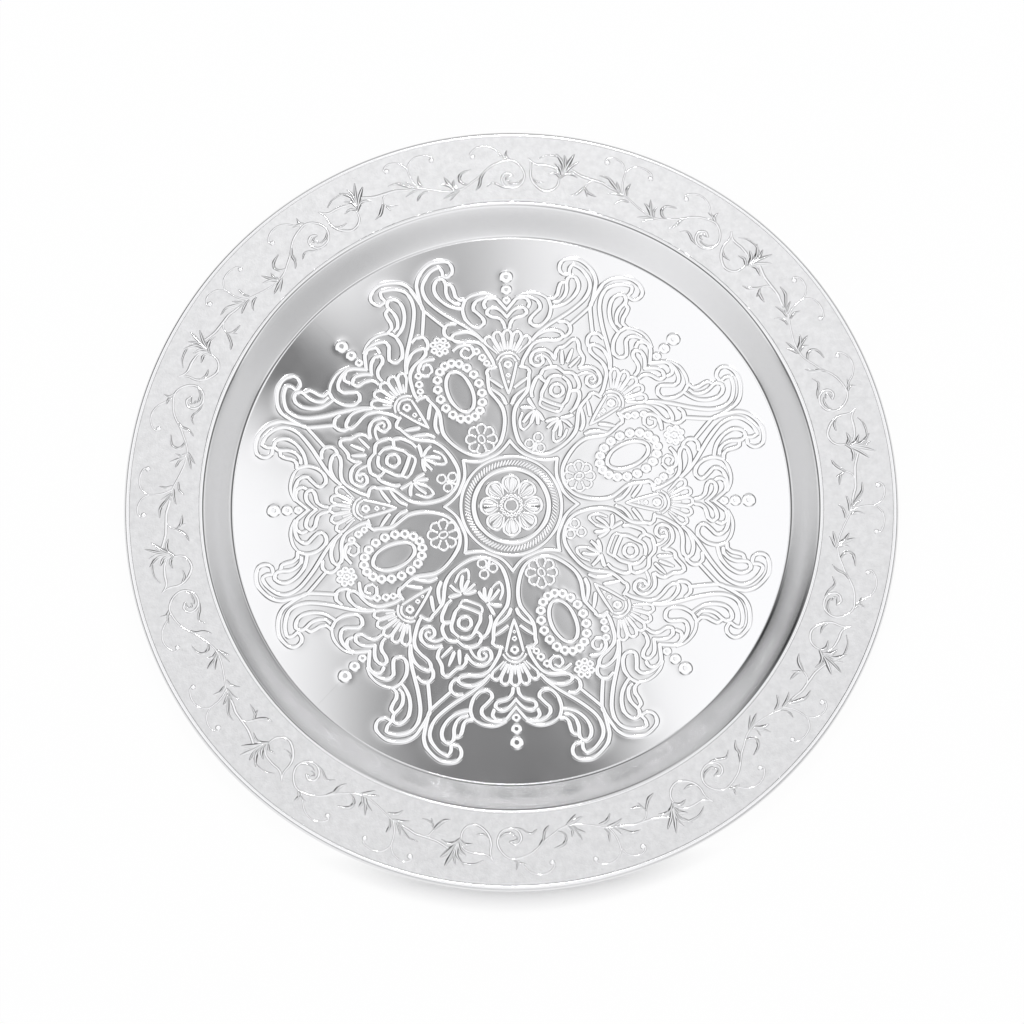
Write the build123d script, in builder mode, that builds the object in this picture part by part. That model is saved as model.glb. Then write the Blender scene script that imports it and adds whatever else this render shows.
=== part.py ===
from build123d import *
import os
from math import atan2, cos, degrees, hypot, radians, sin, tan

# Puja thali: one pressed silver-plated sheet with a flat rim, its edge rolled over a steel wire.
# Millimetres. The plate lies flat on z = 0, its axis is Z, and the well opens upward.
# Bends, the roll and the ornament are drawn in short chords, so that the packed mesh stays light.

# Driving dimensions
plate_radius = 150.0
overall_height = 11.0
sheet = 0.8
floor_radius = 109.6
shoulder_radius = 119.8
foot_bend = 0.8
shoulder_bend = 1.4
bend_chords = 1
wire_radius = 0.5
wire_gap = 0.35
wire_sides = 6
roll_turn = 270.0
roll_chords = 5

# Ornament, raised above the sheet: bands of one width along hand-drawn lines
relief = 0.5
band_width = 1.5
fields = 8
bead_sides = 6
ring_sides = 20

# Derived values
middle_floor = sheet / 2
middle_rim = overall_height - sheet / 2
roll_radius = wire_radius + wire_gap + sheet / 2
edge_radius = wire_radius + wire_gap + sheet
edge_centre_r = plate_radius - edge_radius
edge_centre_z = overall_height - edge_radius

# Finial group, which points outward between two fields: right half, its axis along Y
finial_bands = [
    [(24.8, 94.0), (21.8, 96.0), (22.8, 99.7), (28.0, 100.4), (33.6, 96.4), (35.6, 88.0), (33.0, 80.2), (25.2, 73.2)],
    [(26.0, 96.4), (29.6, 96.4), (33.2, 91.0), (31.4, 84.0), (20.4, 75.5), (10.2, 67.6)],
    [(16.9, 83.6), (17.2, 78.0), (12.4, 72.6), (9.3, 75.0), (13.2, 80.6), (11.4, 84.4), (5.0, 85.0), (0, 79.8)],
    [(0, 76.8), (3.4, 80.3), (7.6, 79.6), (2.4, 75.8), (1.0, 71.6)],
    [(10.4, 67.6), (15.5, 70.8), (21.6, 69.6), (19.6, 66.8), (9.8, 65.0), (5.4, 56.4)],
]
finial_beads = [(93.5, 2.9), (88.2, 2.4)]
fan_centre = 57.3
fan_root = 4.8
fan_lobe = 13.4
fan_tip = 14.6
fan_pitch = 18.5
fan_lobes = 5

# Field between two finials: right half of its border, then its oval in a ring for pearls, or its rose
border_band = [(0, 22.9), (5.0, 24.2), (9.6, 29.0), (12.6, 36.5), (11.2, 45.5), (13.4, 54.2), (17.0, 53.9)]
oval_centre = 50.4
oval_radii = (4.8, 8.7)
oval_sides = 8
pearl_radii = (8.4, 12.1)
pearl_width = 3.4
rose_band = [(0, 56.4), (-3.6, 55.0), (-5.2, 50.0), (-4.5, 44.6), (4.4, 44.6), (5.0, 50.0), (3.6, 55.0), (0.6, 56.4)]
rose_heart = 2.6

# Medallion and the star round it
star_low = 21.1
star_high = 26.2
border_radius = 19.8
rope_radius = 17.0
rope_width = 3.0
ring_radius = 14.1
petal_outline = [(1.2, 4.8), (2.4, 6.6), (3.5, 8.6), (3.5, 10.6), (2.2, 12.4), (0, 13.0)]
heart_radius = 3.5


def chords(centre_r, centre_z, radius, start, turn, count):
    """Points on an arc, count chords apart, angles in degrees."""
    angles = [radians(start + turn * step / count) for step in range(count + 1)]
    return [(centre_r + radius * cos(a), centre_z + radius * sin(a)) for a in angles]


def beside(points, distance):
    """The line that runs the given distance to the left of a line of points, with mitred corners."""
    steps = [(b[0] - a[0], b[1] - a[1]) for a, b in zip(points, points[1:])]
    lefts = [(-dz / hypot(dr, dz), dr / hypot(dr, dz)) for dr, dz in steps]
    before = [lefts[0]] + lefts
    after = lefts + [lefts[-1]]
    moved = []
    for point, one, two in zip(points, before, after):
        reach = distance / (1 + one[0] * two[0] + one[1] * two[1])
        moved.append((point[0] + reach * (one[0] + two[0]), point[1] + reach * (one[1] + two[1])))
    return moved


def mirrored(points):
    """The other half of a right half."""
    return [(-x, y) for x, y in points]


def face(points):
    """A flat face inside a closed line of points."""
    return make_face(Polyline(*points, close=True))


def band(points):
    """A band of the ornament along a line of points."""
    return face(beside(points, band_width / 2) + beside(points, -band_width / 2)[::-1])


def oval(centre, radii, sides, grow=0.0):
    """Corners of an oval of so many sides on the Y axis."""
    angles = [radians(360 * step / sides) for step in range(sides)]
    return [((radii[0] + grow) * sin(a), centre + (radii[1] + grow) * cos(a)) for a in angles]


# Slope of the wall, and where its two bends begin
wall_angle = atan2(middle_rim - middle_floor, shoulder_radius - floor_radius)
foot_r = floor_radius - foot_bend * tan(wall_angle / 2)
shoulder_r = shoulder_radius + shoulder_bend * tan(wall_angle / 2)
slope = degrees(wall_angle)
foot = chords(foot_r, middle_floor + foot_bend, foot_bend, -90, slope, bend_chords)
shoulder = chords(shoulder_r, middle_rim - shoulder_bend, shoulder_bend, 90 + slope, -slope, bend_chords)
roll = chords(edge_centre_r, edge_centre_z, roll_radius, 90, -roll_turn, roll_chords)
middle_line = [(0, middle_floor)] + foot + shoulder + roll
upper_side = beside(middle_line, sheet / 2)
lower_side = beside(middle_line, -sheet / 2)

# Finial group: bands on both sides, beads on the axis, and a fan shell with a lobed edge
fan_angles = [(step - fan_lobes) * fan_pitch / 2 for step in range(2 * fan_lobes + 1)]
fan_edge = [(fan_lobe if step % 2 == 0 else fan_tip, angle) for step, angle in enumerate(fan_angles)]
fan_ends = [(fan_root, fan_angles[-1]), (fan_root, 0), (fan_root, fan_angles[0])]
fan = [(r * sin(radians(a)), fan_centre + r * cos(radians(a))) for r, a in fan_edge + fan_ends]
finial = Sketch() + [band(line) for line in finial_bands] + [band(mirrored(line)) for line in finial_bands]
finial += [Pos(0, y) * RegularPolygon(radius, bead_sides) for y, radius in finial_beads]
finial += face(fan)

# Star arc: concave, its tips on the axes of the two finials beside the field
star_turns = [radians(step * 180 / fields / 2) for step in range(-2, 3)]
star_reach = [star_low + (star_high - star_low) * abs(a / star_turns[-1]) ** 2.8 for a in star_turns]
star = [(r * sin(a), r * cos(a)) for r, a in zip(star_reach, star_turns)]
frame = Sketch() + [band(border_band), band(mirrored(border_band)), band(star)]

# The two kinds of field
oval_field = frame
for radii, width in ((oval_radii, band_width), (pearl_radii, pearl_width)):
    inside = face(oval(oval_centre, radii, oval_sides, -width / 2))
    oval_field += face(oval(oval_centre, radii, oval_sides, width / 2)) - inside
rose_field = frame + band(rose_band) + Pos(0, 50.1) * RegularPolygon(rose_heart, bead_sides)

# Medallion: border ring, rope band, smooth ring and a flower of eight petals
medallion = Sketch()
for radius, width in ((border_radius, band_width), (rope_radius, rope_width), (ring_radius, band_width)):
    medallion += RegularPolygon(radius + width / 2, ring_sides) - RegularPolygon(radius - width / 2, ring_sides)
petal = face(petal_outline + mirrored(petal_outline)[-2::-1])
medallion += [Rot(0, 0, 360 / fields * step) * petal for step in range(fields)]
medallion += RegularPolygon(heart_radius, ring_sides // 2)

# Pressed sheet: the middle line of its section, given its thickness and turned about the axis
with BuildPart() as dish:
    with BuildSketch(Plane.XZ):
        with BuildLine():
            Polyline(*upper_side, *reversed(lower_side), close=True)
        make_face()
    revolve(axis=Axis.Z)
    with BuildSketch(Plane.XY.offset(middle_floor)) as ornament:
        add(medallion)
        for step in range(fields):
            add(Rot(0, 0, 360 / fields * step) * finial)
            add(Rot(0, 0, 360 / fields * (step + 0.5)) * (oval_field if step % 2 == 0 else rose_field))
    extrude(amount=relief + sheet / 2)
dish.part.label = "dish"

# Wire ring that stiffens the edge, held in the roll with wire_gap all round
with BuildPart() as edge_wire:
    with BuildSketch(Plane.XZ):
        with Locations((edge_centre_r, edge_centre_z)):
            RegularPolygon(wire_radius, wire_sides)
    revolve(axis=Axis.Z)
edge_wire.part.label = "edge_wire"

os.makedirs("parts", exist_ok=True)
export_step(dish.part, "parts/dish.step")
export_step(edge_wire.part, "parts/edge_wire.step")
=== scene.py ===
"""Puja thali: an embossed silver-plated plate on a white table, in the frame of its CAD solids.

Lengths are in millimetres until a mesh is written, and metres in the scene.
"""
import math

import bpy
import numpy as np
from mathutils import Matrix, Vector


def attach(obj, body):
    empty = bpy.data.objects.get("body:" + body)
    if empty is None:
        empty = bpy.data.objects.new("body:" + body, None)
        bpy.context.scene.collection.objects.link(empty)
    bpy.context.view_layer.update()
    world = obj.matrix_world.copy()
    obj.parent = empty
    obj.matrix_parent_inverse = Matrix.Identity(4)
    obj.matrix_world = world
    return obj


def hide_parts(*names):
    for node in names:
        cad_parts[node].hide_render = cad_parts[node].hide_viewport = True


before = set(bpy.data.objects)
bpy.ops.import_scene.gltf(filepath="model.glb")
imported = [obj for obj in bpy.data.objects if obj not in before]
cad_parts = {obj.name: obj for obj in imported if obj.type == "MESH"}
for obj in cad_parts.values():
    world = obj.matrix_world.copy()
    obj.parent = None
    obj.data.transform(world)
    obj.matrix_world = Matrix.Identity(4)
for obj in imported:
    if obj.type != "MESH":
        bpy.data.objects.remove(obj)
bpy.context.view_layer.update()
scene = bpy.context.scene
scene.view_settings.view_transform = "Standard"
METRE = 0.001

# Sheet metal: thickness, height, outer radius and roll as in the solids, the bends of the wall rounder
sheet = 0.8
rim_top = 11.0
plate_radius = 150.0
wire_space = 0.85
roll_radius = wire_space + sheet
roll_centre = (plate_radius - roll_radius, rim_top - roll_radius)
medallion_radius = 19.8
floor_edge = 108.6
rim_inner = 121.0
rim_outer = 147.6

# Section of the wall: pairs of the length run so far and the slope there in degrees.
# A fine pressed line runs into the foot bend. Between the bends the lengths are shares of the whole.
foot_bend = [(0, 0), (0.06, -33), (0.28, -33), (0.38, 29), (1.05, 37), (1.5, 41)]
wall_swell = [(0, 41), (0.5, 48), (1, 41)]
shoulder_bend = [(0, 41), (0.3, 38), (1.05, 27), (1.5, 0)]
foot_steps = 40
swell_steps = 16
shoulder_steps = 20
ring_steps = 720
# Roll of the edge: its turn in degrees, and its points outside and inside
roll_turn = 270
roll_steps = 40
roll_inner_steps = 28

# Raised work: its slope at the foot, and the power by which that slope falls off towards a ridge's middle
steepness = 0.68
dome_steepness = 0.64
swell_steepness = 0.09
stem_steepness = 0.70
leaf_steepness = 0.82
ridge_roundness = 0.6
leaf_roundness = 0.25
# Distance between points along a ridge, the flat share of a dome's radius, and a dome's sides
path_step = 0.5
dome_crest = 0.28
dome_sides = 14
# Shares that are kept of the vine's drawn widths, and of the places of the floor's ornament
vine_weight = 0.66
leaf_weight = 0.80
ornament_scale = 0.994
# Repeats round the plate, their angles in degrees, and the turn of the first repeat of the vine
fields = 8
field_angle = 360 / fields
vine_repeats = 10
vine_angle = 360 / vine_repeats
vine_turn = -1.45

# Panels of sheet: points of their grids, and the spare steps round each grid
floor_grid = (141, 121)
rim_grid = (41, 121)
medallion_half_grid = 65
margin = 10
# Hollows beneath the raised work: shares of its height, how deep they go at most, how often they are softened
hollow_share = 0.94
rim_share = 0.7
hollow_depth = 0.45 * sheet
hollow_soft = 2
# Swell of the floor beside its raised work, as a share of its height softened so often
floor_swell = 0.06
swell_soft = 12

# Ornament of the floor. A ridge is its few points and its width at start, middle and end, foot to foot.
EVEN = (2.1, 2.3, 2.1)
THIN = (1.5, 1.8, 1.5)
DROP = (1.4, 2.3, 2.1)

# Finial groups: right half, the axis up, y measured from the plate's centre. Beads are x, y and radius.
finial_ridges = [
    ([(0, 79.8), (2, 82.2), (3.9, 84.3), (6, 84.9), (8, 84.3), (9.1, 82.6), (8.6, 80.8)], EVEN),
    (
        [(0, 76.8), (1.7, 78.8), (3.6, 80.3), (5.6, 80.8), (7, 80.4), (7.9, 79.2), (7.4, 77.9), (6.1, 77.1)]
        + [(3.9, 76.6), (2.3, 75.7), (1.3, 74.1), (1, 72.4)],
        EVEN,
    ),
    (
        [(16.9, 83.6), (17.6, 81), (17.4, 78.6), (16.3, 75.9), (13.8, 73.3), (11.2, 72.9), (9.4, 74.3)]
        + [(9.4, 76.1), (11.3, 78.2), (13.1, 80), (13.2, 82), (11.7, 83.9), (8.6, 85.1), (5.2, 85.1)]
        + [(3.6, 84.2)],
        EVEN,
    ),
    ([(4, 85.2), (7, 86.5), (10, 86.8), (13.5, 86), (16, 84.4), (17.2, 82.6)], THIN),
    (
        [(24.6, 93.8), (22.6, 94.4), (21.5, 96.4), (22, 98.8), (23.8, 100.2), (26.6, 100.5), (29.7, 99.8)]
        + [(32.7, 97.5), (35, 94.5), (35.9, 91), (35.5, 88), (34.6, 84), (33.4, 80.6), (30.8, 78)]
        + [(27.9, 75.5), (25.2, 73.2)],
        EVEN,
    ),
    (
        [(25.4, 94.2), (25.6, 96.2), (26.7, 97.8), (28.3, 97.4), (30.7, 95.6), (32.9, 92.5), (33.6, 89.5)]
        + [(32.9, 86.5), (31, 83.5), (28.4, 81), (24.4, 78), (20.4, 75.5), (16.4, 73), (12.4, 70)]
        + [(10.2, 67.6)],
        EVEN,
    ),
    (
        [(18, 80.5), (20.5, 80.9), (23.5, 82), (26.5, 84.4), (28.6, 87.6), (28.9, 90.2), (28, 92.4)]
        + [(26.3, 93.2), (24.7, 92.2), (24.2, 90.4), (24.1, 87.5), (23, 84.9), (21, 83), (19, 82.7)],
        EVEN,
    ),
    ([(17, 84.2), (19, 84.4), (20.4, 86), (21.1, 88.5), (21.9, 90.3), (23.4, 90.8)], EVEN),
    ([(20.8, 74.4), (23.2, 74.4), (25, 72.8), (25.1, 70.6), (23.8, 68.8), (22.2, 68.1)], EVEN),
    (
        [(10, 67.2), (12.5, 69.4), (15.5, 70.8), (18.5, 71), (21.2, 70.1), (22.1, 68.6), (20.8, 67.2)]
        + [(18.3, 66.8), (15.3, 67), (12.3, 66.6), (9.8, 65), (7.7, 62), (6.1, 59), (5.4, 56.4)],
        EVEN,
    ),
    ([(3.4, 57.8), (2.2, 52.6), (0.9, 48), (0, 45.4)], THIN),
]
finial_beads = [
    (0, 93.5, 2.9),
    (0, 88.2, 2.4),
    (0, 83.8, 1.95),
    (0, 57.3, 2.0),
    (0, 52.9, 1.2),
    (0, 50.2, 0.8),
]

# Fan shell of the finial group: channels with round ends, spread round one centre, as radius and degrees there
fan_channel_widths = (1.2, 1.9, 1.2)
fan_rib_widths = (0.9, 1.3, 1.0)
fan_arc_widths = (1.4, 1.6, 1.4)
fan_centre = 57.3
fan_pitch = 18.5
fan_lobes = [-2, -1, 0, 1, 2]
fan_channel = [(6.4, -6.6), (9.5, -7.6), (12.0, -8.0), (13.5, -5.2), (14.1, 0.0)]
fan_rib = [5.8, 7.4, 9.4]
fan_arcs = [3.4, 4.8]
fan_arc_angles = [-66, -44, -22, 0, 22, 44, 66]

# Border of a field: right half, the field's axis up
border_ridges = [
    (
        [(0, 22.9), (3.4, 23.5), (6.4, 25.2), (9.1, 28.3), (11.2, 31.8), (12.4, 35), (12.8, 38), (12.2, 41)]
        + [(11.2, 44.5), (11.1, 47), (11.8, 49.6), (12.7, 52), (13, 53.5), (14.5, 54.3), (17, 53.9)],
        EVEN,
    ),
    ([(11.7, 46.6), (13.5, 43.8), (14.6, 41.2), (14.7, 38.6)], DROP),
    ([(12.8, 50.4), (14.4, 48), (15.9, 45.4)], DROP),
]

# Rose field: the flower is uneven and drawn whole, the rest in right halves
rose_ridges = [
    ([(-0.8, 56), (-3, 55.3), (-4.6, 53.5), (-5, 50), (-5.2, 47), (-4.5, 44.8)], EVEN),
    ([(0.6, 56), (3, 55), (4.5, 53), (4.9, 50), (5, 47.5), (4.3, 45.3)], EVEN),
    ([(-4.5, 44.6), (0, 44.4), (4.3, 44.7)], EVEN),
    ([(-8.3, 53.8), (-8, 56), (-6, 57.8), (-3.3, 58.8), (0, 57.9)], EVEN),
    ([(0, 57.9), (3.2, 58.8), (5.6, 57.6), (7.4, 55.4), (7.6, 53.4)], EVEN),
    ([(-5.2, 51.6), (-7, 52.1), (-8.2, 53), (-9.4, 51.6), (-9.6, 49), (-9.3, 46), (-8.4, 44.2)], EVEN),
    ([(5, 51.6), (7, 52.7), (8.2, 52.8), (9.3, 50.8), (9.4, 48), (9.1, 45.6), (8.4, 44)], EVEN),
    ([(-4.6, 44.3), (-4.4, 42.6), (-3, 41.7), (0, 41.6), (3, 41.8), (4.1, 42.6), (4.3, 44.2)], THIN),
    (
        [(-5.4, 62.6), (-6, 64.4), (-5.5, 66.5), (-4, 67.6), (-3, 69.2), (-1.8, 71.5), (-0.3, 72.3)]
        + [(1.1, 71.2), (2.2, 69), (3.7, 67.6), (5, 66.4), (5.4, 64.2), (4.9, 62.4)],
        EVEN,
    ),
    ([(-0.3, 67.8), (-0.3, 62.6)], DROP),
    ([(-4, 65.8), (-2, 61.2)], DROP),
    ([(3.4, 65.8), (1.4, 61.2)], DROP),
    ([(0, 27), (0, 22.8)], THIN),
]
rose_pairs = [
    (
        [(5.4, 61.8), (7.5, 63.2), (10, 63.8), (12.5, 63), (14.2, 61.2), (14.5, 58.8), (13.4, 57)]
        + [(11.6, 56.5), (9.9, 57.4), (9.4, 59.2), (10.3, 60.5)],
        EVEN,
    ),
    ([(5.2, 58.3), (6.8, 60), (8.8, 61.2), (11, 61.2), (12.5, 60), (12.3, 58.7), (11.3, 58.6)], THIN),
    ([(4.6, 39.4), (2.8, 38.4), (0.9, 36.9)], DROP),
    ([(4.6, 39), (3.2, 37), (2.2, 34.8)], DROP),
    ([(5, 38.8), (5, 36.6), (4.8, 34.2)], DROP),
    ([(5.6, 38.9), (6.8, 36.6), (7.6, 33.4)], DROP),
    ([(6, 39.6), (8.2, 39.4), (10.4, 38.5)], DROP),
    ([(5.6, 40.2), (7.6, 41.4), (9.2, 42.7)], DROP),
    ([(9.4, 36.4), (9.3, 33.4), (8.2, 31.2), (6.7, 30.3), (5.6, 31.6), (4.9, 33.6)], THIN),
]
# Rings: centre x and y, radii across and along the axis, and width
rose_rings = [
    (0, 50.1, 2.5, 2.5, 2.2),
    (0, 29.5, 1.7, 1.7, 1.3),
    (2.3, 25.8, 1.7, 1.7, 1.3),
    (-2.3, 25.8, 1.7, 1.7, 1.3),
]

# Oval field: the oval and its flower's heart as rings, the curls and beads beside the oval in right halves
oval_rings = [
    (0, 50.3, 4.8, 8.7, 2.2),
    (0, 29.2, 1.2, 1.7, 1.2),
]
oval_pairs = [
    ([(4.4, 66.9), (7, 67.6), (9.6, 67.2), (11.6, 65.2), (11.2, 62.6), (9, 61.5)], EVEN),
    ([(9, 61.5), (6.9, 62.6), (6.7, 64.9), (8.6, 66), (9.9, 64.6)], THIN),
]
oval_beads = [(12.6, 62.9, 1.85), (13.7, 59.6, 1.95), (14.4, 56.8, 1.7), (15.2, 54.5, 1.4)]
# Its ring of pearls: the ring's middle and radii, the number of pearls and their radius
pearl_middle = 50.6
pearl_ring = (8.3, 12.0)
pearls = 18
pearl_radius = 2.25
# Its rosette of beads at the outer end: one bead in the middle, the others round it
rosette_middle = 70.5
rosette_reach = 2.8
rosette_beads = 7
rosette_bead = 1.7
# Its flower at the inner end: one petal, with the way out from the flower's middle up
flower_petal_widths = (1.0, 1.4, 1.0)
flower_middle = 29.2
flower_petals = 8
flower_petal = [(0.8, 2.4), (1.7, 3.9), (1.5, 5.4), (0, 6.1), (-1.5, 5.4), (-1.7, 3.9), (-0.8, 2.4)]

# Star round the medallion: its radius on a field's axis and on a finial's, the power of its curve, its width
star_low = 21.1
star_high = 26.2
star_curve = 2.8
star_steps = 41
star_width = 2.0

# Medallion: petals point at the finials, the axis of one up. Rings are radius and width.
petal_widths = (1.1, 1.6, 1.1)
petal_swell_widths = (1.6, 5.2, 3.4)
petal_rib_widths = (0.8, 1.3, 0.9)
petal_vein_widths = (0.8, 1.2, 0.8)
rope_widths = (0.9, 1.2, 0.9)
petal_points = [(1.2, 5.4), (2.3, 6.9), (3.1, 8.6), (3.0, 10.2), (1.9, 11.4), (0, 11.9)]
petal_swell = [(0, 5.8), (0, 8.6), (0, 11.2)]
petal_rib = [(0.7, 6.2), (1.1, 8.2), (1.35, 9.9)]
petal_vein = [(0, 6.0), (0, 8.0), (0, 10.4)]
stamens = 16
stamen_ring = 4.0
stamen_radius = 0.95
medallion_rings = [(2.5, 1.2), (14.7, 2.6), (19.7, 1.8)]
rope_radius = 17.2
rope_half = 0.8
rope_strands = 88
rope_slant = 1.1

# Rim vine: one repeat, x along the rim at the middle radius, y the radius itself
vine_middle = 135.0
vine_stems = [
    (
        [(-40.4, 131.6), (-38, 131.3), (-35, 130), (-32, 128.8), (-29.5, 128), (-27, 127.4), (-24, 127.2)]
        + [(-21, 127.6), (-18.5, 128.6), (-16.5, 129.8), (-14, 131.2), (-12, 132.8), (-10, 134.5)]
        + [(-8, 135.9), (-5.5, 137), (-3, 137.7), (-1, 138), (1, 137.4), (3, 135.8), (4.4, 133.8)]
        + [(5, 131.8), (4.7, 129.8), (3.5, 127.8), (1.5, 126.7), (-0.8, 126.5), (-2.8, 127.3)]
        + [(-4, 128.9), (-4.2, 130.6), (-3.3, 132), (-1.6, 132.6), (0, 131.6)],
        (0.9, 1.3, 1.5),
    ),
    (
        [(19.2, 132), (19.2, 130), (18.6, 128.2), (17, 126.6), (14.5, 125.8), (12.5, 126.2), (10, 127.8)]
        + [(8.2, 130), (7.4, 132.5), (7.5, 135), (7.2, 137), (6.2, 139)],
        (1.0, 1.7, 0.7),
    ),
    ([(6.2, 139), (8, 137.2), (10, 136.5), (13, 136.5), (16.5, 135.9), (18.5, 134.6)], (0.7, 1.7, 1.0)),
    (
        [(23, 136.2), (26, 134.9), (28.5, 134.1), (31, 133.8), (34, 133.6), (37, 133.4), (40, 132.5)]
        + [(44.4, 131.6)],
        THIN,
    ),
    ([(46.4, 131.2), (44.8, 134.5), (44.2, 137.5), (44.1, 140.6)], (1.3, 1.0, 0.9)),
    (
        [(44.1, 140.2), (44.8, 141.8), (46.8, 143.7), (49.3, 144.3), (51.8, 144), (53.8, 143), (54.2, 141.8)],
        (0.8, 1.0, 1.0),
    ),
    (
        [(44.1, 140.2), (42.8, 142.6), (41, 144), (38.5, 144.7), (36.5, 144.1), (35.5, 142.7), (36.3, 141.9)],
        (0.8, 1.0, 1.0),
    ),
    (
        [(-2.6, 138.4), (-4.5, 140.3), (-6.5, 142.5), (-9, 143.9), (-11.5, 144.2), (-14, 143.4), (-16, 141.5)]
        + [(-15.7, 140)],
        (0.9, 1.0, 1.0),
    ),
    ([(34, 133.6), (31.6, 132.6), (30.2, 130.2)], (0.9, 1.0, 1.0)),
]
vine_leaves = [
    ([(-2, 126.3), (-4.5, 127), (-6.5, 128.2), (-8.4, 128.6), (-10.5, 127.2)], (0.9, 1.4, 0.5)),
    ([(4.3, 130), (2.4, 128.5), (0, 128.1), (-1.4, 128.5)], (0.9, 1.3, 0.9)),
    ([(-1, 129.3), (-2.2, 129.6), (-2.5, 130.6), (-1.4, 131.2), (0, 131.4)], (0.9, 1.2, 0.9)),
    ([(-11, 133.4), (-12.7, 131.4), (-13.3, 129), (-14.2, 127.4), (-15.4, 126.2)], (0.9, 1.9, 0.5)),
    (
        [(-18.6, 128.8), (-20.7, 129.8), (-21.6, 131.5), (-20.9, 133.3), (-19.2, 134.3), (-16.7, 134.9)],
        (1.0, 1.8, 0.5),
    ),
    ([(-24.6, 127.4), (-26.4, 129.6), (-29.3, 131)], (1.2, 2.1, 0.5)),
    ([(-24.4, 127.6), (-26, 130.2), (-27.5, 133.4)], (1.2, 2.0, 0.5)),
    ([(-23.2, 127.4), (-24.4, 129.4), (-23.9, 131.6)], (1.1, 1.8, 0.5)),
    ([(-22.6, 126.9), (-25.4, 126.1), (-29.4, 124.8)], (1.0, 1.8, 0.5)),
    ([(-23, 126.4), (-25, 125.2), (-27, 123.6)], (1.0, 1.6, 0.5)),
    ([(-35.5, 129.2), (-37.6, 129), (-39.3, 128.1), (-40.6, 126.5)], (0.9, 1.6, 0.5)),
    ([(-38.5, 130.8), (-41, 130.7), (-43, 130.2), (-44.5, 129.6)], (1.0, 1.5, 0.5)),
    ([(-37, 131.6), (-37.9, 133.8), (-37.4, 136.4)], (0.9, 1.6, 0.5)),
    ([(-1, 138.3), (-2.4, 139.8), (-2.1, 141.9)], (1.0, 1.5, 0.5)),
    ([(-1.6, 138.6), (-3.4, 139.6), (-5.4, 139.8)], (1.0, 1.4, 0.5)),
    ([(8.2, 130.6), (10, 129.4), (11.6, 129.2), (13.2, 129.4)], (0.9, 1.4, 0.5)),
    ([(10, 138.8), (12.4, 140.3), (15, 140.8), (17.6, 140.6), (19.6, 139.6)], (0.5, 1.1, 0.9)),
    ([(19.4, 132.2), (17.4, 133.6), (14.7, 133.1)], (1.3, 1.9, 0.5)),
    ([(19.6, 131.8), (21.6, 133.8), (24, 134.2), (26.4, 133.2)], (1.3, 2.1, 0.5)),
    ([(20, 133.4), (19, 136), (16.6, 137.6)], (1.6, 2.4, 0.6)),
    ([(20.2, 133.6), (19.8, 138), (16.8, 141.6)], (1.6, 2.4, 0.6)),
    ([(20.4, 133.8), (20.9, 138), (19.9, 141.4)], (1.5, 2.2, 0.6)),
    ([(20.6, 133.8), (21.8, 138), (23.5, 142.5)], (1.6, 2.5, 0.6)),
    ([(20.8, 133.6), (22.8, 136.6), (25.7, 139.8)], (1.6, 2.5, 0.6)),
    ([(30.3, 130.2), (29, 128.2), (27.2, 126.3), (24.8, 125.3)], (0.9, 2.0, 0.6)),
    ([(30.4, 129.6), (31.6, 128.2), (33.6, 127.6), (35.7, 127.3)], (0.9, 1.7, 0.5)),
    ([(31, 128.6), (31.6, 127.6), (32.1, 126.4)], (0.8, 1.2, 0.5)),
    ([(44, 132), (41, 134.2), (38.4, 135.9), (35.1, 136.1)], (1.1, 1.8, 0.5)),
    ([(44.6, 132), (43.2, 133.6), (42.1, 135.5)], (1.0, 1.5, 0.5)),
    ([(44.6, 131.4), (43.2, 132), (41.4, 131.9)], (1.0, 1.4, 0.5)),
]
vine_beads = [(53.9, 141.5, 1.0), (36.4, 142.2, 1.1), (-15.2, 140.1, 1.0), (20.3, 136.2, 1.2)]


def smooth_path(points):
    """A smooth curve through the points, sampled about path_step apart.

    Each stretch is a cubic whose slope at either end is half the step from the point before to the one after.
    """
    p = np.array(points, float)
    p = np.vstack([2 * p[0] - p[1], p, 2 * p[-1] - p[-2]])
    a, b, c, d = p[:-3, None], p[1:-2, None], p[2:-1, None], p[3:, None]
    usual = np.median(np.linalg.norm(np.diff(p, axis=0), axis=1))
    spans = max(2, int(np.ceil(usual / path_step)))
    t = np.linspace(0, 1, spans, endpoint=False)[None, :, None]
    curve = 0.5 * (2 * b + (c - a) * t + (2 * a - 5 * b + 4 * c - d) * t**2 + (3 * b - a - 3 * c + d) * t**3)
    return np.vstack([curve.reshape(-1, 2), p[-2]])


def swell(path, widths):
    """Half widths along a path: a parabola through its widths at start, middle and end."""
    run = np.concatenate([[0], np.cumsum(np.linalg.norm(np.diff(path, axis=0), axis=1))])
    share = run / run[-1]
    start, middle, end = widths
    first = 4 * middle - 3 * start - end
    second = 2 * start + 2 * end - 4 * middle
    return (start + first * share + second * share**2) / 2


def turned(x, y, degrees):
    """The points turned about the plate's axis."""
    c, s = math.cos(math.radians(degrees)), math.sin(math.radians(degrees))
    return x * c - y * s, x * s + y * c


def placed(path, side=1, turn=0.0):
    """A path mirrored where side is -1, then turned about the plate's axis."""
    return np.stack(turned(side * path[:, 0], path[:, 1], turn), axis=1)


def around(count, start=0.0):
    """Angles of so many places spread evenly over one turn, the first one start steps on."""
    return 2 * math.pi * (np.arange(count) + start) / count


def oval_path(cx, cy, rx, ry):
    """One turn round an oval, its points about path_step apart."""
    count = max(24, int(2 * math.pi * max(rx, ry) / path_step))
    turn = around(count)
    return np.stack([cx + rx * np.sin(turn), cy + ry * np.cos(turn)], axis=1)


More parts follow.
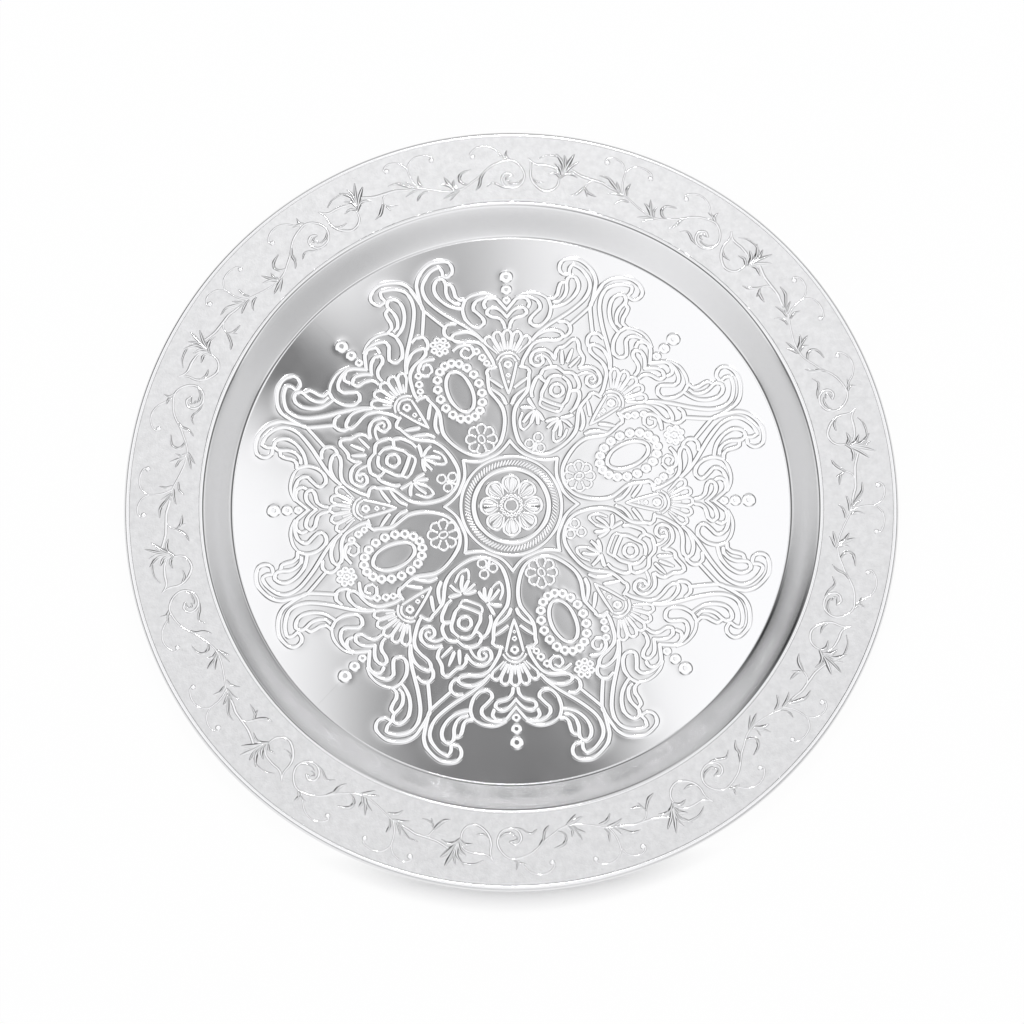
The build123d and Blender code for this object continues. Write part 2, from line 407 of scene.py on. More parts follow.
def fan_ridges():
    """The fan shell: U-shaped ridges round its channels, a rib in each, and arcs about its centre."""
    def at(radius, angle):
        turn = math.radians(angle)
        return radius * math.sin(turn), fan_centre + radius * math.cos(turn)

    ridges = []
    whole = fan_channel + [(r, -a) for r, a in fan_channel[-2::-1]]
    for lobe in fan_lobes:
        ridges.append(([at(r, fan_pitch * lobe + a) for r, a in whole], fan_channel_widths))
        ridges.append(([at(r, fan_pitch * lobe) for r in fan_rib], fan_rib_widths))
    for radius in fan_arcs:
        ridges.append(([at(radius, a) for a in fan_arc_angles], fan_arc_widths))
    return ridges


class Work:
    """The raised work of one repeat: ridges as (path, half widths, closed) and domes as (x, y, radius)."""

    def __init__(self):
        self.ridges, self.domes = [], []

    def stroke(self, points, widths, side=1, turn=0.0):
        """A ridge along a smooth line, mirrored where side is -1, then turned about the plate's axis."""
        path = smooth_path(points)
        self.ridges.append((placed(path, side, turn), swell(path, widths), False))

    def pairs(self, lines, turn=0.0):
        """Ridges drawn as right halves, and their mirror images."""
        for side in (1, -1):
            for points, widths in lines:
                self.stroke(points, widths, side, turn)

    def ring(self, cx, cy, rx, ry, width):
        """A ridge of one width round an oval."""
        path = oval_path(cx, cy, rx, ry)
        self.ridges.append((path, np.full(len(path), width / 2), True))

    def bead(self, cx, cy, radius, side=1, turn=0.0):
        """A dome, placed in the same way as a ridge."""
        x, y = turned(side * cx, cy, turn)
        self.domes.append((x, y, radius))

    def scaled(self, share):
        """The same work with every place drawn in towards the plate's axis."""
        self.ridges = [(share * path, half, closed) for path, half, closed in self.ridges]
        self.domes = [(share * cx, share * cy, radius) for cx, cy, radius in self.domes]
        return self


def finial_work(work, turn):
    """A finial group, both halves, on an axis turned from the field's."""
    work.pairs(finial_ridges, turn)
    for points, widths in fan_ridges():
        work.stroke(points, widths, 1, turn)
    for cx, cy, radius in finial_beads:
        work.bead(cx, cy, radius, 1, turn)


def rose_work(work):
    """What fills a rose field: the uneven flower and its sprays, the pairs beside them, and rings."""
    for points, widths in rose_ridges:
        work.stroke(points, widths)
    work.pairs(rose_pairs)
    for ring in rose_rings:
        work.ring(*ring)


def oval_work(work):
    """What fills an oval field: the oval in its ring of pearls, with a rosette outside and a flower inside."""
    work.pairs(oval_pairs)
    for side in (1, -1):
        for cx, cy, radius in oval_beads:
            work.bead(cx, cy, radius, side)
    for ring in oval_rings:
        work.ring(*ring)
    rx, ry = pearl_ring
    for turn in around(pearls, 0.5):
        work.bead(rx * math.sin(turn), pearl_middle + ry * math.cos(turn), pearl_radius)
    for turn in around(rosette_beads):
        cx, cy = rosette_reach * math.sin(turn), rosette_middle + rosette_reach * math.cos(turn)
        work.bead(cx, cy, rosette_bead)
    work.bead(0, rosette_middle, rosette_bead)
    for turn in around(flower_petals, 0.5):
        c, s = math.cos(turn), math.sin(turn)
        petal = [(x * c + y * s, flower_middle - x * s + y * c) for x, y in flower_petal]
        work.stroke(petal, flower_petal_widths)


def field_work(field, finials=(-field_angle / 2,)):
    """One eighth of the floor, its field's axis up, with finial groups at the given turns from that axis.

    The star's arc is concave: its radius grows with a power of the angle, to its tips on the finials' axes.
    """
    work = Work()
    for turn in finials:
        finial_work(work, turn)
    work.pairs(border_ridges)
    angle = np.radians(np.linspace(-field_angle / 2, field_angle / 2, star_steps))
    reach = star_low + (star_high - star_low) * np.abs(angle / angle[-1]) ** star_curve
    star_path = np.stack([reach * np.sin(angle), reach * np.cos(angle)], axis=1)
    work.ridges.append((star_path, np.full(len(angle), star_width / 2), False))
    if field == "rose":
        rose_work(work)
    else:
        oval_work(work)
    return work.scaled(ornament_scale)


def medallion_work():
    """The middle of the floor: a flower of eight petals round a ring of beads, a rope between two rings."""
    work = Work()
    petal = petal_points + [(-x, y) for x, y in petal_points[-2::-1]]
    for number in range(fields):
        turn = field_angle * number
        work.stroke(petal, petal_widths, 1, turn)
        work.pairs([(petal_rib, petal_rib_widths)], turn)
        work.stroke(petal_vein, petal_vein_widths, 1, turn)
    for number in range(stamens):
        work.bead(0, stamen_ring, stamen_radius, 1, 360 / stamens * number)
    for radius, width in medallion_rings:
        work.ring(0, 0, radius, radius, width)
    inner = (-rope_slant / 2, rope_radius - rope_half)
    outer = (rope_slant / 2, rope_radius + rope_half)
    for number in range(rope_strands):
        work.stroke([inner, (0, rope_radius), outer], rope_widths, 1, 360 * number / rope_strands)
    return work


def petal_swells():
    """The low swell inside each petal of the medallion's flower."""
    work = Work()
    for number in range(fields):
        work.stroke(petal_swell, petal_swell_widths, 1, field_angle * number)
    return work


def vine_work(lines, weight, beads=()):
    """Lines of one repeat of the rim's vine, bent round it: x becomes an angle, y stays the radius."""
    work = Work()

    def bent(points):
        path = smooth_path(points)
        angle = path[:, 0] / vine_middle
        return np.stack([path[:, 1] * np.sin(angle), path[:, 1] * np.cos(angle)], axis=1)

    for points, widths in lines:
        path = bent(points)
        work.ridges.append((path, weight * swell(path, widths), False))
    for along, radius, size in beads:
        work.bead(radius * math.sin(along / vine_middle), radius * math.cos(along / vine_middle), size)
    return work


def near(x, y, low, high, reach):
    """Which points lie in a box grown by reach."""
    return (x > low[0] - reach) & (x < high[0] + reach) & (y > low[1] - reach) & (y < high[1] + reach)


def height_map(work, x, y):
    """Heights of the raised work over a grid: the highest of its ridges and domes, each a parabola across."""
    height = np.zeros_like(x)
    for path, half, _ in work.ridges:
        here = near(x, y, path.min(axis=0), path.max(axis=0), half.max())
        if not here.any():
            continue
        px, py = x[here][:, None], y[here][:, None]
        apart = (px - path[None, :, 0]) ** 2 + (py - path[None, :, 1]) ** 2
        share = 1 - apart / half[None, :] ** 2
        height[here] = np.maximum(height[here], (steepness * half[None, :] / 2 * share).max(axis=1))
    for cx, cy, radius in work.domes:
        here = near(x, y, (cx, cy), (cx, cy), radius)
        share = 1 - ((x[here] - cx) ** 2 + (y[here] - cy) ** 2) / radius**2
        height[here] = np.maximum(height[here], dome_steepness * radius / 2 * share)
    return height


def make_mesh(name, points, faces, material, normals=None, polish=1.0):
    """A piece of the dish, shaded smooth, from points in millimetres and lists of faces.

    polish, for all points or each, is 1 on polished places and 0 on plain ones.
    """
    mesh = bpy.data.meshes.new(name)
    mesh.vertices.add(len(points))
    mesh.vertices.foreach_set("co", (np.asarray(points, np.float32) * METRE).ravel())
    sizes = np.concatenate([np.full(len(f), f.shape[1], np.int32) for f in faces])
    corners = np.concatenate([f.ravel() for f in faces]).astype(np.int32)
    starts = np.concatenate([[0], np.cumsum(sizes)[:-1]]).astype(np.int32)
    mesh.loops.add(len(corners))
    mesh.loops.foreach_set("vertex_index", corners)
    mesh.polygons.add(len(sizes))
    mesh.polygons.foreach_set("loop_start", starts)
    mesh.update(calc_edges=True)
    mesh.validate()
    mesh.shade_smooth()
    layer = mesh.attributes.new("polish", "FLOAT", "POINT")
    layer.data.foreach_set("value", np.broadcast_to(polish, len(points)).astype(np.float32))
    if normals is not None:
        mesh.normals_split_custom_set_from_vertices(np.asarray(normals, float).tolist())
    piece = bpy.data.objects.new(name, mesh)
    scene.collection.objects.link(piece)
    mesh.materials.append(material)
    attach(piece, "root")
    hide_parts("dish")


def ridge_body(path, half, closed, steep, roundness):
    """A ridge as a closed body: points over a base at 0, their normals, and lists of faces.

    Its slope is steep times a power, roundness, of the share of the half width. Where the path isn't closed,
    a few sections are added beyond each end, narrowing as a half circle does. The body reaches half a sheet
    below the base.
    """
    reach = np.zeros(len(path))
    outward = np.zeros((len(path), 2))
    if closed:
        step = np.roll(path, -1, axis=0) - np.roll(path, 1, axis=0)
    else:
        ends = np.array([0.4, 0.72, 0.92, 0.99])
        extra = len(ends)
        before = (path[0] - path[1]) / np.linalg.norm(path[0] - path[1])
        beyond = (path[-1] - path[-2]) / np.linalg.norm(path[-1] - path[-2])
        reach = np.concatenate([ends[::-1], reach, ends])
        outward = np.vstack([np.tile(before, (extra, 1)), outward, np.tile(beyond, (extra, 1))])
        first = path[0] + before * half[0] * ends[::-1, None]
        last = path[-1] + beyond * half[-1] * ends[:, None]
        path = np.vstack([first, path, last])
        half = np.concatenate([np.full(extra, half[0]), half, np.full(extra, half[-1])])
        step = np.gradient(path, axis=0)
    step /= np.linalg.norm(step, axis=1, keepdims=True)
    left = np.stack([-step[:, 1], step[:, 0]], axis=1)
    across = np.array([-1, -0.72, -0.4, -0.12, 0, 0.12, 0.4, 0.72, 1])
    narrow = np.sqrt(1 - reach**2)
    sideways = narrow[:, None, None] * across[None, :, None] * left[:, None]
    away = sideways + (reach[:, None] * outward)[:, None]
    share = np.maximum(np.linalg.norm(away, axis=-1, keepdims=True), 1e-6)
    place = path[:, None] + (half * narrow)[:, None, None] * across[None, :, None] * left[:, None]
    rise = steep * half[:, None, None] / (1 + roundness) * (1 - share ** (1 + roundness))
    top = np.concatenate([place, rise], axis=-1)
    up = np.concatenate([steep * away * share ** (roundness - 1), np.ones_like(share)], axis=-1)
    below = np.concatenate([place[:, [-1, 0]], np.full((len(path), 2, 1), -sheet / 2)], axis=-1)
    points = np.concatenate([top, below], axis=1)
    normals = np.concatenate([up, np.tile((0.0, 0.0, -1.0), (len(path), 2, 1))], axis=1)
    index = np.arange(points.shape[0] * points.shape[1]).reshape(points.shape[:2])
    after = np.roll(index, -1, axis=0)
    beside = np.roll(index, -1, axis=1)
    opposite = np.roll(after, -1, axis=1)
    quads = np.stack([index, after, opposite, beside], axis=-1)
    if closed:
        return points.reshape(-1, 3), normals.reshape(-1, 3), [quads.reshape(-1, 4)]
    caps = np.stack([index[0], index[-1][::-1]])
    return points.reshape(-1, 3), normals.reshape(-1, 3), [quads[:-1].reshape(-1, 4), caps]


def dome_body(cx, cy, radius, steep):
    """A bead as a closed dome: flat to its crest, then a parabola down to its foot, and half a sheet below it.

    Gives the same as ridge_body.
    """
    shares = np.array([1.0, 0.82, 0.58, dome_crest])
    fall = (shares - dome_crest) / (1 - dome_crest)
    turn = around(dome_sides)
    out = np.stack([np.cos(turn), np.sin(turn)], axis=1)
    rise = steep * radius * (1 - dome_crest) / 2 * (1 - fall**2)
    levels = np.concatenate([[-sheet / 2], rise])
    spread = np.concatenate([[1.0], shares]) * radius
    lean = np.concatenate([[1.0], fall]) * steep
    rings = (len(levels), dome_sides)
    points = np.concatenate([
        np.array((cx, cy)) + spread[:, None, None] * out[None],
        np.broadcast_to(levels[:, None, None], (*rings, 1)),
    ], axis=-1)
    normals = np.concatenate([lean[:, None, None] * out[None], np.ones((*rings, 1))], axis=-1)
    normals[0] = (0.0, 0.0, -1.0)
    index = np.arange(len(levels) * dome_sides).reshape(rings)
    after = np.roll(index, -1, axis=1)
    quads = np.stack([index[:-1], after[:-1], after[1:], index[1:]], axis=-1).reshape(-1, 4)
    return points.reshape(-1, 3), normals.reshape(-1, 3), [quads, index[-1:], index[:1, ::-1]]


def ornament(name, work, base, turns, material, steep, dome_steep, roundness=ridge_roundness):
    """Makes the raised work into pieces on the level base, one for each turn about the plate's axis."""
    points, normals, faces, count = [], [], [], 0
    bodies = [ridge_body(*ridge, steep, roundness) for ridge in work.ridges]
    bodies += [dome_body(*dome, dome_steep) for dome in work.domes]
    for body_points, body_normals, body_faces in bodies:
        points.append(body_points)
        normals.append(body_normals)
        faces += [f + count for f in body_faces]
        count += len(body_points)
    points, normals = np.vstack(points), np.vstack(normals)
    normals /= np.linalg.norm(normals, axis=1, keepdims=True)
    for number, turn in enumerate(turns):
        x, y = turned(points[:, 0], points[:, 1], turn)
        nx, ny = turned(normals[:, 0], normals[:, 1], turn)
        make_mesh(
            f"{name}_{number + 1}",
            np.stack([x, y, points[:, 2] + base], axis=1),
            faces,
            material,
            normals=np.stack([nx, ny, normals[:, 2]], axis=1),
        )


def grid_normals(points):
    """Upward unit normals of a grid of points, from the differences across each one."""
    one = np.gradient(points, axis=0)
    two = np.gradient(points, axis=1)
    normal = np.cross(two, one)
    normal *= np.sign(normal[..., 2:3] + 1e-12)
    return normal / np.linalg.norm(normal, axis=-1, keepdims=True)


def soften(height, times):
    """Heights made rounder: each value averaged with its neighbours, over and over."""
    for _ in range(times):
        pad = np.pad(height, 1, mode="edge")
        height = (pad[:-2, 1:-1] + pad[2:, 1:-1] + pad[1:-1, :-2] + pad[1:-1, 2:] + 4 * height) / 8
    return height


def sheet_panel(name, x, y, height, base, turn, material, halo=0.0):
    """A closed panel of sheet over a grid with spare steps all round, which its normals need.

    Its upper side swells by halo times the softened height of the raised work. Its lower side lies a sheet's
    thickness below and is hollowed beneath the work.
    """
    keep = slice(margin, -margin)
    gx, gy = turned(x, y, turn)
    top = np.stack([gx, gy, base + halo * soften(height, swell_soft)], axis=-1)
    hollow = np.minimum(hollow_share * soften(height, hollow_soft), hollow_depth)
    low = np.stack([gx, gy, base - sheet + hollow], axis=-1)
    up, down = grid_normals(top)[keep, keep], -grid_normals(low)[keep, keep]
    top, low = top[keep, keep], low[keep, keep]
    rows, columns = top.shape[:2]
    below = rows * columns
    upper = np.arange(below).reshape(rows, columns)
    quads = np.stack([upper[:-1, :-1], upper[:-1, 1:], upper[1:, 1:], upper[1:, :-1]], axis=-1)
    quads = quads.reshape(-1, 4)
    ring = np.concatenate([upper[0, :-1], upper[:-1, -1], upper[-1, :0:-1], upper[:0:-1, 0]])
    onward = np.roll(ring, -1)
    walls = np.stack([onward, ring, ring + below, onward + below], axis=-1)
    faces = [quads, walls, quads[:, ::-1] + below]
    # Where the grid runs the other way round, all faces are turned over
    row, column = rows // 2, columns // 2
    corner = top[row, column]
    if np.cross(top[row, column + 1] - corner, top[row + 1, column] - corner)[2] < 0:
        faces = [f[:, ::-1] for f in faces]
    points = np.concatenate([top.reshape(-1, 3), low.reshape(-1, 3)])
    normals = np.concatenate([up.reshape(-1, 3), down.reshape(-1, 3)])
    make_mesh(name, points, faces, material, normals=normals, polish=0.0)


def fan_grid(r_low, r_high, half_angle, rows, columns):
    """A polar grid: rows from one radius to the other, columns across both half angles, and spare steps."""
    r = r_low + (r_high - r_low) / (rows - 1) * (np.arange(rows + 2 * margin) - margin)
    a = half_angle * (2 * (np.arange(columns + 2 * margin) - margin) / (columns - 1) - 1)
    r, a = np.meshgrid(r, a, indexing="ij")
    return r * np.sin(a), r * np.cos(a)


def disc_grid(radius, half_count):
    """A square grid drawn out to a disc, u and v each shrinking with the other's square, and spare steps."""
    side = (np.arange(2 * half_count + 1 + 2 * margin) - margin) / half_count - 1
    u, v = np.meshgrid(side, side, indexing="ij")
    return radius * u * np.sqrt(1 - v * v / 2), radius * v * np.sqrt(1 - u * u / 2)


def ring_piece(name, section, material, polish=1.0):
    """A closed section turned about the plate's axis, with the polish of each of its points or of all."""
    section = np.asarray(section, float)
    turn = around(ring_steps)
    count = len(section)
    x = np.sin(turn)[:, None] * section[None, :, 0]
    y = np.cos(turn)[:, None] * section[None, :, 0]
    z = np.broadcast_to(section[None, :, 1], x.shape)
    points = np.stack([x, y, z], axis=-1).reshape(-1, 3)
    index = np.arange(ring_steps * count).reshape(ring_steps, count)
    after = np.roll(index, -1, axis=0)
    beside = np.roll(index, -1, axis=1)
    opposite = np.roll(after, -1, axis=1)
    quads = np.stack([index, beside, opposite, after], axis=-1).reshape(-1, 4)
    # Where the section runs the other way round, the faces are turned over
    onward = np.roll(section, -1, axis=0)
    if np.sum(section[:, 0] * onward[:, 1] - onward[:, 0] * section[:, 1]) > 0:
        quads = quads[:, ::-1]
    polish = np.tile(np.broadcast_to(polish, count), ring_steps)
    make_mesh(name, points, [quads], material, polish=polish)


class Socket:
    """A shader value that can be used in sums: each operator adds one Math node."""

    def __init__(self, nodes, link):
        self.nodes, self.link = nodes, link

    def maths(self, operation, *others):
        return self.nodes.add("ShaderNodeMath", {"operation": operation}, dict(enumerate((self,) + others)))

    def __add__(self, other):
        return self.maths("ADD", other)

    def __sub__(self, other):
        return self.maths("SUBTRACT", other)

    def __mul__(self, other):
        return self.maths("MULTIPLY", other)

    def __truediv__(self, other):
        return self.maths("DIVIDE", other)

    def __rsub__(self, other):
        return self.nodes.add("ShaderNodeMath", {"operation": "SUBTRACT"}, {0: other, 1: self})

    def __rtruediv__(self, other):
        return self.nodes.add("ShaderNodeMath", {"operation": "DIVIDE"}, {0: other, 1: self})

    __radd__ = __add__
    __rmul__ = __mul__

    def clip(self):
        """The value held between 0 and 1."""
        return self.nodes.add("ShaderNodeClamp", {}, {"Value": self})

    def exp(self):
        return self.maths("EXPONENT")

    def root(self):
        return self.maths("SQRT")

    def at_least(self, other):
        return self.maths("MAXIMUM", other)

    def edge(self):
        """A soft step from 0 to 1, one half at 0."""
        return 1 / (1 + (self * -1.0).exp())

    def bell(self, middle, width):
        """A smooth hump of height 1 at middle."""
        away = (self - middle) / width
        return (away * away * -1.0).exp()

    def within(self, low, high, rise, fall):
        """0 outside low to high and 1 well inside, with ramps of the widths rise and fall."""
        return ((self - low) / rise).clip() * ((high - self) / fall).clip()


class Nodes:
    """The node tree of a material or of the world."""

    def __init__(self, tree):
        self.tree = tree
        tree.nodes.clear()

    def add(self, kind, settings=None, inputs=None, output=0):
        """A new node, with its settings and then the values or links of its sockets. Gives one output."""
        node = self.tree.nodes.new(kind)
        for key, value in (settings or {}).items():
            setattr(node, key, value)
        for key, value in (inputs or {}).items():
            if isinstance(value, Socket):
                self.tree.links.new(value.link, node.inputs[key])
            else:
                node.inputs[key].default_value = value
        if node.outputs:
            return Socket(self, node.outputs[output])

    def split(self, vector):
        """The x, y and z of a vector."""
        x = self.add("ShaderNodeSeparateXYZ", {}, {0: vector})
        return [Socket(self, output) for output in x.link.node.outputs]

    def mix(self, share, one, two):
        """The colour at a share of the way from one to two."""
        return self.add("ShaderNodeMix", {"data_type": "RGBA"}, {0: share, 6: one, 7: two}, output=2)


def silver(name, colour, ground, shine, stipple=0.0, waves=0.0, dull=1.0, fleck=0.0):
    """Silver plate: ground is the roughness of plain places, shine that of raised polished ones.

    stipple is the depth of the frosted grain on plain places, and waves that of the slow unevenness of pressed
    sheet, in millimetres. dull is the share of the colour that flecked plain places keep, and fleck is how far
    it varies.
    """
    material = bpy.data.materials.new(name)
    material.use_nodes = True
    nodes = Nodes(material.node_tree)
    place = nodes.add("ShaderNodeTexCoord", output="Object")
    polish = nodes.add("ShaderNodeAttribute", {"attribute_name": "polish"}, output="Fac")

    def noise(scale, detail, roughness):
        sockets = {"Vector": place, "Scale": scale, "Detail": detail, "Roughness": roughness}
        return nodes.add("ShaderNodeTexNoise", {}, sockets)

    smears = (noise(55.0, 3.0, 0.55) - 0.5) * 0.04
    rough = ground + (shine - ground) * polish + smears
    skin = {"Base Color": (*colour, 1), "Metallic": 1.0, "Roughness": rough.clip()}
    if fleck:
        darker = [c * dull * (1 - fleck) for c in colour]
        lighter = [c * dull * (1 + fleck) for c in colour]
        plain = nodes.mix(noise(420.0, 3.0, 0.6), (*darker, 1), (*lighter, 1))
        skin["Base Color"] = nodes.mix(polish, plain, (*colour, 1))
    tall = 0.0
    if stipple:
        tall = tall + noise(1500.0, 2.0, 0.6) * ((1 - polish) * stipple)
    if waves:
        tall = tall + noise(22.0, 1.0, 0.4) * waves
    if stipple or waves:
        sockets = {"Strength": 1.0, "Distance": METRE, "Height": tall}
        skin["Normal"] = nodes.add("ShaderNodeBump", {}, sockets)
    shader = nodes.add("ShaderNodeBsdfPrincipled", {}, skin)
    nodes.add("ShaderNodeOutputMaterial", {}, {"Surface": shader})
    return material


mirror_silver = silver("mirror silver", (0.90, 0.90, 0.905), 0.05, 0.05, waves=0.02)
satin_silver = silver("satin silver", (0.85, 0.85, 0.855), 0.24, 0.07, waves=0.02, fleck=0.03)
frosted = {"stipple": 0.10, "dull": 0.80, "fleck": 0.14}
frosted_silver = silver("frosted silver", (0.90, 0.90, 0.905), 0.58, 0.12, **frosted)
vine_silver = silver("vine silver", (0.86, 0.86, 0.865), 0.05, 0.05)
edge_silver = silver("edge silver", (0.84, 0.84, 0.845), 0.14, 0.14)
wire_steel = silver("drawn steel wire", (0.55, 0.55, 0.56), 0.32, 0.32, stipple=0.02)

# Floor: eight panels and their raised work, round a medallion
for first, field in enumerate(("oval", "rose")):
    turns = [field_angle * (number + 0.5) for number in range(first, fields, 2)]
    x, y = fan_grid(medallion_radius, floor_edge, math.radians(field_angle / 2), *floor_grid)
    height = height_map(field_work(field, (-field_angle / 2, field_angle / 2)), x, y)
    for number, turn in enumerate(turns):
        sheet_panel(f"{field}_panel_{number + 1}", x, y, height, sheet, turn, mirror_silver, floor_swell)
    ornament(f"{field}_scrollwork", field_work(field), sheet, turns, mirror_silver, steepness, dome_steepness)

# Medallion: its panel, its raised work, and the swell of its petals
x, y = disc_grid(medallion_radius, medallion_half_grid)
sheet_panel("medallion", x, y, height_map(medallion_work(), x, y), sheet, 0, mirror_silver)
ornament("medallion_work", medallion_work(), sheet, [0], mirror_silver, steepness, dome_steepness)
ornament("medallion_petals", petal_swells(), sheet, [0], mirror_silver, swell_steepness, swell_steepness)

# Rim: ten panels and the vine's repeats, which reach over from one panel into the next
x, y = fan_grid(rim_inner, rim_outer, math.pi / vine_repeats, *rim_grid)
stems = vine_work(vine_stems, vine_weight, vine_beads)
leaves = vine_work(vine_leaves, leaf_weight)
height = np.zeros_like(x)
for shift in (-1, 0, 1):
    for work in (stems, leaves):
        height = np.maximum(height, height_map(work, *turned(x, y, vine_angle * shift)))
turns = [vine_turn + vine_angle * number for number in range(vine_repeats)]
for number, turn in enumerate(turns):
    sheet_panel(f"rim_panel_{number + 1}", x, y, rim_share * height, rim_top, turn, frosted_silver)
ornament("vine_stems", stems, rim_top, turns, vine_silver, stem_steepness, stem_steepness)
ornament("vine_leaves", leaves, rim_top, turns, vine_silver, leaf_steepness, leaf_steepness, leaf_roundness)


def arc(centre, radius, start, turn, count):
    """Points on an arc in the plate's section, angles in degrees."""
    a = np.radians(start + turn * np.linspace(0, 1, count))
    return np.stack([centre[0] + radius * np.cos(a), centre[1] + radius * np.sin(a)], axis=1)


def bend_path(bend, steps):
    """A bend of the section from its lengths and slopes: points from its start, and the slope at each."""
    length, slope = np.array(bend, float).T
    run = np.linspace(0, length[-1], steps)
    slope = np.radians(np.interp(run, length, slope))
    middle = (slope[1:] + slope[:-1]) / 2
    hop = np.diff(run)[:, None] * np.stack([np.cos(middle), np.sin(middle)], axis=1)
    return np.vstack([np.zeros((1, 2)), np.cumsum(hop, axis=0)]), slope


# Wall: the sheet's upper side from floor to rim, and the lower side a sheet's thickness away from it,
# nowhere below the plate's lowest level, with every second point. The bends are polished.
foot, foot_slope = bend_path(foot_bend, foot_steps)
middle, middle_slope = bend_path(wall_swell, swell_steps)
shoulder, shoulder_slope = bend_path(shoulder_bend, shoulder_steps)
middle *= (rim_top - sheet - foot[-1, 1] - shoulder[-1, 1]) / middle[-1, 1]
middle += foot[-1]
shoulder += middle[-1]
wall_upper = np.array((floor_edge, sheet)) + np.vstack([foot, middle[1:-1], shoulder])
lean = np.maximum(np.concatenate([foot_slope, middle_slope[1:-1], shoulder_slope]), 0)
wall_lower = wall_upper + sheet * np.stack([np.sin(lean), -np.cos(lean)], axis=1)
wall_lower = np.maximum(wall_lower, 0)
wall_upper = np.vstack([wall_upper, [(rim_inner, rim_top)]])
wall_lower = np.vstack([wall_lower, [(rim_inner, rim_top - sheet)]])[::-2]
bends = np.concatenate([np.ones(len(foot)), np.zeros(len(middle) - 2), np.ones(len(shoulder) + 1)])
bends = np.concatenate([bends, bends[::-2]])
ring_piece("wall", np.vstack([wall_upper, wall_lower]), satin_silver, bends)

# Rolled edge: the sheet carried on round the wire, its outer side and back along its inner side
roll = np.vstack([
    [(rim_outer, rim_top)],
    arc(roll_centre, roll_radius, 90, -roll_turn, roll_steps),
    arc(roll_centre, wire_space, 90 - roll_turn, roll_turn, roll_inner_steps),
    [(rim_outer, rim_top - sheet)],
])
ring_piece("rolled_edge", roll, edge_silver)

# The wire keeps its CAD solid
for node in [o for o in scene.objects if o.type == "MESH" and o.name.startswith("edge_wire")]:
    node.data.materials.clear()
    node.data.materials.append(wire_steel)


# Table, in metres: half its side, and how far it lies below the plate. A strip in front is painted shadow:
# there the table drops its glow and shows as plain, greyer paper, where the plate's real shadow falls too. The
# strip ends at a radius and starts at a place along y, each with a ramp.
table_half = 3.0
table_drop = 0.0002
shadow_edge = 0.158
shadow_edge_ramp = 0.008
shadow_start = -0.134
shadow_start_ramp = 0.012


def table_white(name):
    """White table: almost pure white paper, but for a strip of painted shadow in front, where the plate's
    shadow falls too.
    """
    material = bpy.data.materials.new(name)
    material.use_nodes = True
    nodes = Nodes(material.node_tree)
    directly = nodes.add("ShaderNodeLightPath", output="Is Camera Ray")
    in_mirror = nodes.add("ShaderNodeLightPath", output="Is Glossy Ray")
    seen = directly.at_least(in_mirror)
    place = nodes.add("ShaderNodeTexCoord", output="Object")
    x, y, _ = nodes.split(place)
    out = (x * x + y * y).root()
    painted_shadow_strip = ((shadow_edge - out) / shadow_edge_ramp).clip()
    painted_shadow_strip = painted_shadow_strip * ((shadow_start - y) / shadow_start_ramp).clip()
    paper = nodes.add("ShaderNodeTexNoise", {}, {"Vector": place, "Scale": 400.0, "Detail": 2.0})
    tone = nodes.mix(paper, (0.96, 0.96, 0.96, 1), (0.98, 0.98, 0.98, 1))
    plain = nodes.add("ShaderNodeBsdfDiffuse", {}, {"Color": tone})
    glow = nodes.add("ShaderNodeEmission", {}, {"Color": (1, 1, 1, 1), "Strength": 1.0})
    # Painted shadow: in the strip the glow gives way to the plain, greyer paper, on which the plate's real
    # shadow also falls
    whiteness = seen * (0.94 - 0.92 * painted_shadow_strip)
    mixed = nodes.add("ShaderNodeMixShader", {}, {0: whiteness, 1: plain, 2: glow})
    nodes.add("ShaderNodeOutputMaterial", {}, {"Surface": mixed})
    return material


corners = [(-table_half, -table_half, 0), (table_half, -table_half, 0)]
corners += [(table_half, table_half, 0), (-table_half, table_half, 0)]
table = bpy.data.meshes.new("table")
table.from_pydata(corners, [], [(0, 1, 2, 3)])
table_top = bpy.data.objects.new("table", table)
table_top.location.z = -table_drop
scene.collection.objects.link(table_top)
table.materials.append(table_white("white table"))


